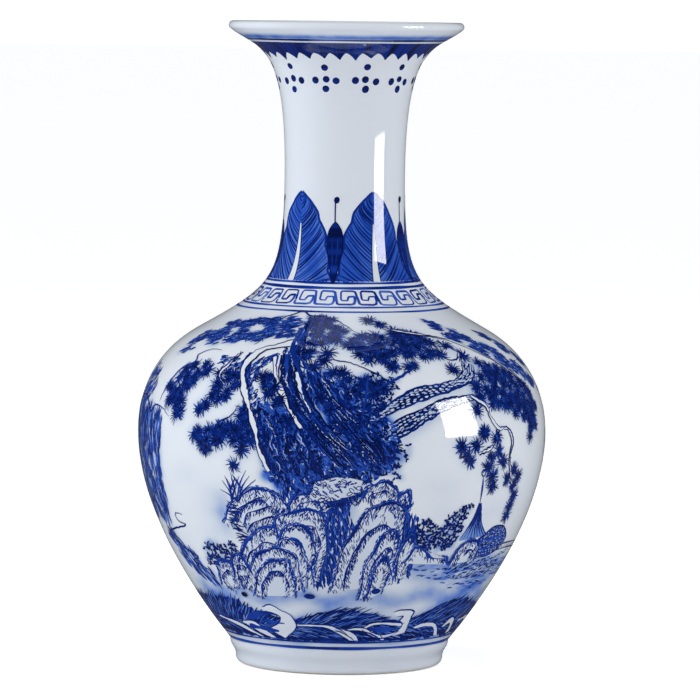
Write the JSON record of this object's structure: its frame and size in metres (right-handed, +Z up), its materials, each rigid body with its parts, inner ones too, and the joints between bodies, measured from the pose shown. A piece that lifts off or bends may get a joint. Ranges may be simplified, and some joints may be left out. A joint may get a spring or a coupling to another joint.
{
  "type": "porcelain vase",
  "caption": "Bottle vase with a wide dished mouth, slim neck and broad shoulders on a turned foot ring, white porcelain painted in cobalt blue.",
  "frame": {"origin": "centre of the foot's standing edge, on the surface the vase stands on", "axes": "+Z up along the axis of the vase; the side with the twisted trunk and the leaf between two buds faces -Y, and +X is to the right of someone facing that side"},
  "size_m": [0.2286, 0.2286, 0.36],
  "materials": {
    "porcelain": "clear glossy glaze over white porcelain with underglaze cobalt blue painting",
    "slip": "fired slip, matt, hidden under the glaze"
  },
  "bodies": {
    "root": {"foot_ring": "porcelain", "foot_seam_slip": "slip", "lower_body": "porcelain", "belly_seam_slip": "slip", "shoulder": "porcelain", "neck_seam_slip": "slip", "neck": "porcelain", "mouth_seam_slip": "slip", "mouth": "porcelain"}
  },
  "joints": []
}
